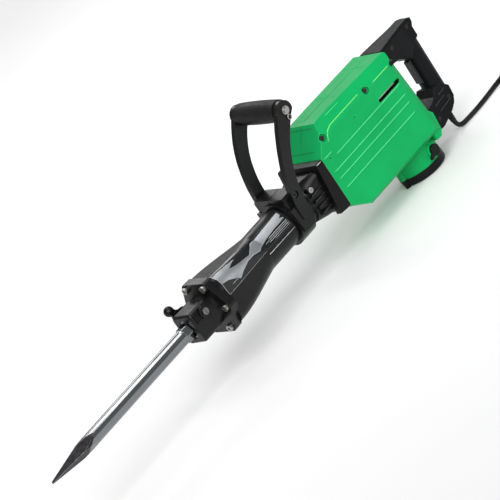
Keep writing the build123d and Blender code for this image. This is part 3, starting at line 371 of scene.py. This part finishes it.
# Near-black aluminium for the gear plate seen through the vent slot: painted shade of the slot's inside.
SLOT_SHADE_ALUMINIUM = turned(
    "aluminium_darkened_as_slot_shade", (0.03, 0.03, 0.031), 0.45,
    along=(260.0, 260.0, 260.0), stain=0.4, depth=0.00004, edge=(0.1, 0.1, 0.1),
)  # fmt: skip
BRASS = turned(
    "brass", (0.78, 0.57, 0.25), 0.25,
    along=(300.0, 300.0, 300.0), stain=0.35, depth=0.00001, edge=(0.95, 0.8, 0.5),
)  # fmt: skip
COPPER = copper_wire("varnished_copper", (0.75, 0.3, 0.14), (0.0, 500.0, 900.0))
LAMINATED = laminated("laminations")
CARBON = rubbery("carbon", (0.012, 0.012, 0.013), 0.42, grain=1800.0, depth=0.00003)
RUBBER = rubbery("moulded_rubber", (0.006, 0.006, 0.006), 0.58)
GRIP_RUBBER = rubbery("grip_rubber", (0.005, 0.005, 0.0053), 0.5, grain=700.0, depth=0.00008, rings=55.0)
SHEATH = rubbery("cord_sheath", (0.008, 0.008, 0.008), 0.48, grain=1600.0, depth=0.00003)
PLUG = moulded("plug_plastic", (0.01, 0.01, 0.0105), (0.05, 0.05, 0.05), 0.4, grain=1900.0)
SWITCH = moulded(
    "switch_plastic", (0.013, 0.012, 0.012), (0.06, 0.06, 0.06), 0.36,
    painted_highlight_strength=0.6, grain=2400.0, depth=0.00001,
)  # fmt: skip
CHISEL = dark_pointed_bar("chisel_steel")
SILVER = turned(
    "brushed_foil", (0.48, 0.5, 0.525), 0.42, along=(30.0, 700.0, 700.0), stain=0.6, depth=0.00002
)
# Grey for the label's rims, and for the beads on the fins and the lip ribs, where it is a painted highlight.
FRAME_GREY_AND_RIB_HIGHLIGHT = turned(
    "frame_grey_and_rib_highlight", (0.13, 0.135, 0.14), 0.4, along=(60.0, 400.0, 400.0), stain=0.4, depth=0.00001
)
# Near-white for the beads on the barrel's rib and the bezel's corner: a painted glint.
PAINTED_GLINT = turned("painted_glint", (0.7, 0.7, 0.7), 0.3, along=(60.0, 400.0, 400.0), stain=0.2, depth=0.00001)
# Pale greens for the beads on the cover's ridges, shoulder and roof: painted highlights.
CREST_HIGHLIGHT = moulded(
    "green_crest_highlight", (0.06, 0.74, 0.30), (0.2, 0.9, 0.45), 0.35, grain=2200.0, depth=0.000008, shine=0.25
)
CREST_HIGHLIGHT_WARM = moulded(
    "green_crest_highlight_warm", (0.15, 0.72, 0.16), (0.3, 0.9, 0.35), 0.32, grain=2200.0, depth=0.000008
)
# Dark green for the facet lines and the seam: painted shade in their creases.
SHADE = moulded(
    "green_groove_painted_shade", (0.0006, 0.15, 0.04), (0.002, 0.2, 0.06), 0.45,
    painted_highlight_strength=0.3, grain=2200.0, depth=0.000008, shine=0.15,
)  # fmt: skip
PANEL_BLACK = moulded(
    "panel_black", (0.006, 0.0062, 0.007), (0.12, 0.12, 0.125), 0.22,
    painted_highlight_strength=0.8, grain=1500.0, depth=0.000008, coat=0.2,
)  # fmt: skip

BY_SLOT = {
    "black_casting": BLACK_CAST,
    "black_plastic": BLACK_MOULDED,
    "green_plastic": GREEN,
    "chisel_steel": CHISEL,
    "tool_steel": STEEL,
    "gear_steel": GEAR_STEEL,
    "bearing_steel": BEARING,
    "laminated_steel": LAMINATED,
    "aluminium": ALUMINIUM,
    "copper": COPPER,
    "brass": BRASS,
    "carbon": CARBON,
    "bright_screw": ZINC,
    "dark_screw": BLACKENED,
    "rubber": RUBBER,
    "grip_rubber": GRIP_RUBBER,
    "cord_rubber": SHEATH,
    "plug_plastic": PLUG,
    "switch_plastic": SWITCH,
    "label": PANEL_BLACK,
}
# The gear plate takes the near-black aluminium: painted shade in the vent slot.
BY_NODE = {"handle_near": HANDLE_BLACK, "handle_far": HANDLE_BLACK, "gear_plate": SLOT_SHADE_ALUMINIUM}

for row in frame["record"]["subparts"]:
    finish = BY_NODE.get(row["node"], BY_SLOT.get(row["material_slot"]))
    for place in nodes[row["node"]].material_slots:
        place.material = finish
lead.data.materials.append(SHEATH)

# Detail pieces


def new_piece(name, builder, finish):
    """A mesh piece on the housing, from a bmesh that the builder fills."""
    shape = bmesh.new()
    builder(shape)
    bmesh.ops.recalc_face_normals(shape, faces=shape.faces)
    data = bpy.data.meshes.new(name)
    shape.to_mesh(data)
    shape.free()
    piece = new_object(name, data)
    data.materials.append(finish)
    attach(piece, "housing")
    return piece


def smooth(piece, angle=40):
    piece.data.shade_smooth()
    piece.data.set_sharp_from_angle(angle=math.radians(angle))


# Foil on the barrel's label, in mm along the axis and degrees round it from the near side
LABEL_SKIN = 0.0008
FOIL = 0.0003
LOOK_IN_FROM = 0.1
FLASH = [
    (80.5, 53), (110, 51.5), (142, 49), (128, 45), (117, 41), (133, 37.5), (150, 35.5), (172, 33.5), (184, 42),
    (196, 52), (217, 54), (282, 59), (282, 49), (264, 43), (277, 39), (282, 33), (250, 32.5), (221, 29.5),
    (205, 26), (196, 21), (178, 26), (160, 26), (140, 20), (124, 13), (118, 20), (100, 29), (84, 32),
]  # fmt: skip
STRIPES = (
    (226, 282, 25.4, 27.2),
    (214, 282, 21.2, 22.4),
    (222, 282, 16.6, 18.2),
    (236, 282, 12.4, 13.2),
    (100, 124, 17.5, 18.5),
)
STRIPE_SLANT = 5


def on_barrel(x, degrees, proud):
    """A point over the cylinder case, at an angle above its near side, found by looking in from outside."""
    turn = math.radians(degrees)
    outward = Vector((0, -math.cos(turn), math.sin(turn)))
    start = Vector((x, 0, 0)) + LOOK_IN_FROM * outward
    for name, skin in (("label_plate", 0.0), ("barrel_case", LABEL_SKIN)):
        hit, place, _, _ = nodes[name].ray_cast(start, -outward)
        if hit:
            return place + (skin + proud) * outward
    raise ValueError(f"nothing under {x}, {degrees}")


def foil(name, rim, finish):
    """Foil stuck on the label, from the corners of its rim, and sunk a little into the label."""

    def build(shape):
        corners = [shape.verts.new((x / 1000, degrees / 1000, 0)) for x, degrees in rim]
        bmesh.ops.triangulate(shape, faces=[shape.faces.new(corners)])
        for _ in range(4):
            bmesh.ops.subdivide_edges(shape, edges=shape.edges, cuts=1, use_grid_fill=True)
        below = bmesh.ops.duplicate(shape, geom=shape.faces[:] + shape.edges[:] + shape.verts[:])
        lower = [v for v in below["geom"] if isinstance(v, bmesh.types.BMVert)]
        upper = [v for v in shape.verts if v not in set(lower)]
        bmesh.ops.bridge_loops(shape, edges=[e for e in shape.edges if e.is_boundary])
        for group, lift in ((upper, FOIL), (lower, -FOIL / 3)):
            for vert in group:
                vert.co = on_barrel(vert.co.x, vert.co.y * 1000, lift)

    smooth(new_piece(name, build, finish), 35)


foil("label_flash", FLASH, SILVER)
for k, (x0, x1, low, high) in enumerate(STRIPES):
    foil(f"label_stripe_{k}", [(x0, low), (x1, low), (x1, high), (x0 + STRIPE_SLANT, high)], SILVER)
foil("label_rim_front", [(82.3, 8), (83.6, 8), (83.6, 60), (82.3, 60)], FRAME_GREY_AND_RIB_HIGHLIGHT)
foil("label_rim_side", [(84, 7.4), (205, 7.4), (205, 8.3), (84, 8.3)], FRAME_GREY_AND_RIB_HIGHLIGHT)

# Beads: slim ridges along the crests, coloured paler as painted highlights or darker as painted shade, in mm
BEAD_SIDES = 8
BEAD_TIP = 0.35
OFF_EVERY_BEAD = Vector((0.3, 0.5, 0.81))
COVER_SIDE_Y = 62.85
SIDE_RIBS = ((405, 430, 50), (434, 632, 39.3), (408, 630, 18), (408, 628, 2), (408, 624, -19))
SIDE_RIB_INSET = 1.5
SHOULDER = (
    (437, 61.9, 66),
    (443, 61.7, 76.5),
    (451, 60.5, 82.5),
    (462, 58.9, 85.2),
    (475, 58.7, 85.4),
    (546, 58.7, 85.1),
    (549, 58.7, 85.1),
)
SHOULDER_REAR = ((588, 62.3, 79.9), (635, 62.3, 79.9))
ROOF_X0 = 460
ROOF_X1 = 648
ROOF_Z = 104.2
ROOF_SLOPE = 0.0285
CROWNS = ((38.4, 1.0, 463), (44.5, 4.9, 474))
FACET_X = 401.9
FACET_Z = 55
FACET_SLOPE = 0.968
FACET_LINES = ((65.5, 39), (97.0, 33))
SEAM = [(404, 0, 57), (447, 0, 101.9), (460.5, 0, 104.5), (560, 0, 101.6), (652.5, 0, 99.0)]
BARREL_RIB = ((206.5, 40.8, -2.6), (286, 40.8, -2.6))
BEZEL_CORNER = ((387, 59.4, 51.4), (400.5, 59.4, 51.4))
FIN_X = (348, 380)
FIN_Y = 47.4
FIN_HEIGHTS = (13, 0, -13, -26)
FIN_HALF_THICK = 1.5
LIP_RIBS = ((707, 728, -47), (685, 718, -56), (688, 727, -70))
LIP_RIB_HALF_THICK = 1.1
HANDLE_ROOT_X = 665
HANDLE_ROOT_Y = 34.4
HANDLE_TAPER = 0.2


def bead(name, path, radius, finish):
    """A slim round ridge along a path in mm, drawn in at both ends."""
    points = [Vector(p) / 1000 for p in path]

    def build(shape):
        rings = []
        for k, point in enumerate(points):
            before, after = points[max(k - 1, 0)], points[min(k + 1, len(points) - 1)]
            along = (after - before).normalized()
            across = along.cross(OFF_EVERY_BEAD).normalized()
            rise = along.cross(across)
            size = radius / 1000 * (BEAD_TIP if k in (0, len(points) - 1) else 1.0)
            ring = []
            for n in range(BEAD_SIDES):
                turn = 2 * math.pi * n / BEAD_SIDES
                ring.append(shape.verts.new(point + size * (math.cos(turn) * across + math.sin(turn) * rise)))
            rings.append(ring)
        for one, two in zip(rings, rings[1:]):
            for n in range(BEAD_SIDES):
                m = (n + 1) % BEAD_SIDES
                shape.faces.new((one[n], one[m], two[m], two[n]))
        shape.faces.new(rings[0])
        shape.faces.new(rings[-1])

    smooth(new_piece(name, build, finish), 60)


def straight(start, end, taper=3.0):
    """Two ends and two points just inside them, so that a straight bead tapers only there."""
    start, end = Vector(start), Vector(end)
    step = (end - start).normalized() * taper
    return [start, start + step, end - step, end]


def on_side(side, points):
    """The same points on the near side, -1, or the far side, 1."""
    return [(x, side * y, z) for x, y, z in points]


def cover_beads(side, label):
    """The cover's raised lines, its shoulder in two lengths, and the lines along its roof, all in pale green
    as a painted highlight.
    """
    for k, (x0, x1, z) in enumerate(SIDE_RIBS):
        ends = ((x0 + SIDE_RIB_INSET, COVER_SIDE_Y, z), (x1 - SIDE_RIB_INSET, COVER_SIDE_Y, z))
        bead(f"ridge_{label}_{k}", straight(*on_side(side, ends)), 0.62, CREST_HIGHLIGHT)
    bead(f"shoulder_{label}_front", on_side(side, SHOULDER), 1.0, CREST_HIGHLIGHT_WARM)
    bead(f"shoulder_{label}_rear", straight(*on_side(side, SHOULDER_REAR)), 0.85, CREST_HIGHLIGHT_WARM)
    for k, (y, drop, x0) in enumerate(CROWNS):
        ends = ((x, y, ROOF_Z - drop - (x - ROOF_X0) * ROOF_SLOPE) for x in (x0, ROOF_X1))
        bead(f"crown_{label}_{k}", straight(*on_side(side, ends)), 0.55, CREST_HIGHLIGHT)


def handle_half_width(x):
    return HANDLE_ROOT_Y - HANDLE_TAPER * (x - HANDLE_ROOT_X)


def casting_beads(side, label):
    """The barrel's rib and the bezel's corner, near-white as a painted glint, and the crank case's fins and
    the rear handle's lip ribs, grey as a painted highlight.
    """
    bead(f"barrel_rib_{label}", straight(*on_side(side, BARREL_RIB)), 0.7, PAINTED_GLINT)
    bead(f"bezel_glint_{label}", straight(*on_side(side, BEZEL_CORNER)), 1.0, PAINTED_GLINT)
    # Grey beads on the fins and the lip ribs: a painted highlight.
    for k, z in enumerate(FIN_HEIGHTS):
        ends = ((x, FIN_Y, z + FIN_HALF_THICK) for x in FIN_X)
        bead(f"fin_{label}_{k}", straight(*on_side(side, ends)), 0.5, FRAME_GREY_AND_RIB_HIGHLIGHT)
    for k, (x0, x1, z) in enumerate(LIP_RIBS):
        ends = ((x, handle_half_width(x), z + LIP_RIB_HALF_THICK) for x in (x0, x1))
        crest = straight(*on_side(side, ends), taper=2.0)
        bead(f"handle_ridge_{label}_{k}", crest, 0.45, FRAME_GREY_AND_RIB_HIGHLIGHT)


for side, label in SIDES:
    cover_beads(side, label)
# The facet lines and the seam are beads in dark green: painted shade.
for k, (z, reach) in enumerate(FACET_LINES):
    x = FACET_X + (z - FACET_Z) * FACET_SLOPE
    bead(f"facet_line_{k}", straight((x, -reach, z), (x, reach, z)), 0.6, SHADE)
bead("cover_seam", SEAM, 0.4, SHADE)
for side, label in SIDES:
    casting_beads(side, label)

# The strap round the wound cord: its middle, half its width and height inside, and its reach either way
TIE_X = COIL_X + 0.004
TIE_Y = COIL_Y + 0.050
TIE_Z = CORD_LIE_Z + 0.0039
TIE_HALF_WIDTH = 0.0155
TIE_HALF_HEIGHT = 0.0092
TIE_REACH = 0.0048
TIE_THICK = 0.0011
TIE_CLEAR_INSIDE = 0.00025
TIE_CLEAR_OUTSIDE = 0.00005
TIE_STEPS = 28


def tie_ring(shape, x, grow, clear):
    """One rim of the strap: a squarish ring, flattened where it meets the floor."""
    ring = []
    for k in range(TIE_STEPS):
        turn = 2 * math.pi * k / TIE_STEPS
        c, s = math.cos(turn), math.sin(turn)
        scale = (abs(c) ** 4 + abs(s) ** 4) ** -0.25
        y = TIE_Y + (TIE_HALF_WIDTH + grow) * c * scale
        z = TIE_Z + (TIE_HALF_HEIGHT + grow) * s * scale
        ring.append(shape.verts.new((x, y, max(z, FLOOR_Z + clear))))
    return ring


def coil_tie(shape):
    """The strap from its four rims."""
    rings = []
    for x in (TIE_X - TIE_REACH, TIE_X + TIE_REACH):
        rings.append(tie_ring(shape, x, 0.0, TIE_CLEAR_INSIDE))
        rings.append(tie_ring(shape, x, TIE_THICK, TIE_CLEAR_OUTSIDE))
    inner_a, outer_a, inner_b, outer_b = rings
    for one, two in ((inner_a, outer_a), (outer_a, outer_b), (outer_b, inner_b), (inner_b, inner_a)):
        for k in range(TIE_STEPS):
            j = (k + 1) % TIE_STEPS
            shape.faces.new((one[k], one[j], two[j], two[k]))


smooth(new_piece("coil_tie", coil_tie, RUBBER))

# Floor and light


def new_floor(size=20.0):
    shape = bmesh.new()
    bmesh.ops.create_grid(shape, x_segments=2, y_segments=2, size=size)
    data = bpy.data.meshes.new("floor")
    shape.to_mesh(data)
    shape.free()
    floor = new_object("floor", data)
    floor.location.z = FLOOR_Z
    paint = Paint("floor_paint")
    cloud = paint.ramp(paint.noise(1.5, 3), 0.3, 0.7)
    paint.colour(paint.mix(cloud, (0.86, 0.86, 0.865), (0.89, 0.89, 0.89)))
    paint.roughness(paint.ramp(paint.noise(5.0, 3), 0.3, 0.7, 0.7, 0.85))
    data.materials.append(paint.material)


def soft_light(name, place, aim, size, power):
    """A rectangular light of so many watts, turned towards its aim."""
    data = bpy.data.lights.new(name, "AREA")
    data.shape = "RECTANGLE"
    data.size, data.size_y = size
    data.energy = power
    light = new_object(name, data)
    light.location = place
    light.rotation_euler = (Vector(aim) - Vector(place)).to_track_quat("-Z", "Y").to_euler()


def sun_light(name, toward, spread, power):
    """A far, wide, even light, so that the floor is as bright everywhere."""
    data = bpy.data.lights.new(name, "SUN")
    data.angle = math.radians(spread)
    data.energy = power
    new_object(name, data).rotation_euler = Vector(toward).to_track_quat("Z", "Y").to_euler()


def new_world(strength):
    world = bpy.data.worlds.new("studio")
    scene.world = world
    world.use_nodes = True
    background = world.node_tree.nodes["Background"]
    background.inputs["Color"].default_value = (1.0, 1.0, 1.0, 1.0)
    background.inputs["Strength"].default_value = strength


new_floor()
new_world(0.34)
sun_light("key", toward=(-0.4, -0.74, 0.74), spread=55.0, power=2.9)
soft_light("strip", place=(0.75, 0.15, 1.7), aim=(-0.1, 0.0, 0.0), size=(1.9, 0.3), power=10.0)
soft_light("rim", place=(1.4, 1.5, 1.2), aim=(0.4, 0.0, 0.0), size=(1.2, 0.5), power=9.0)
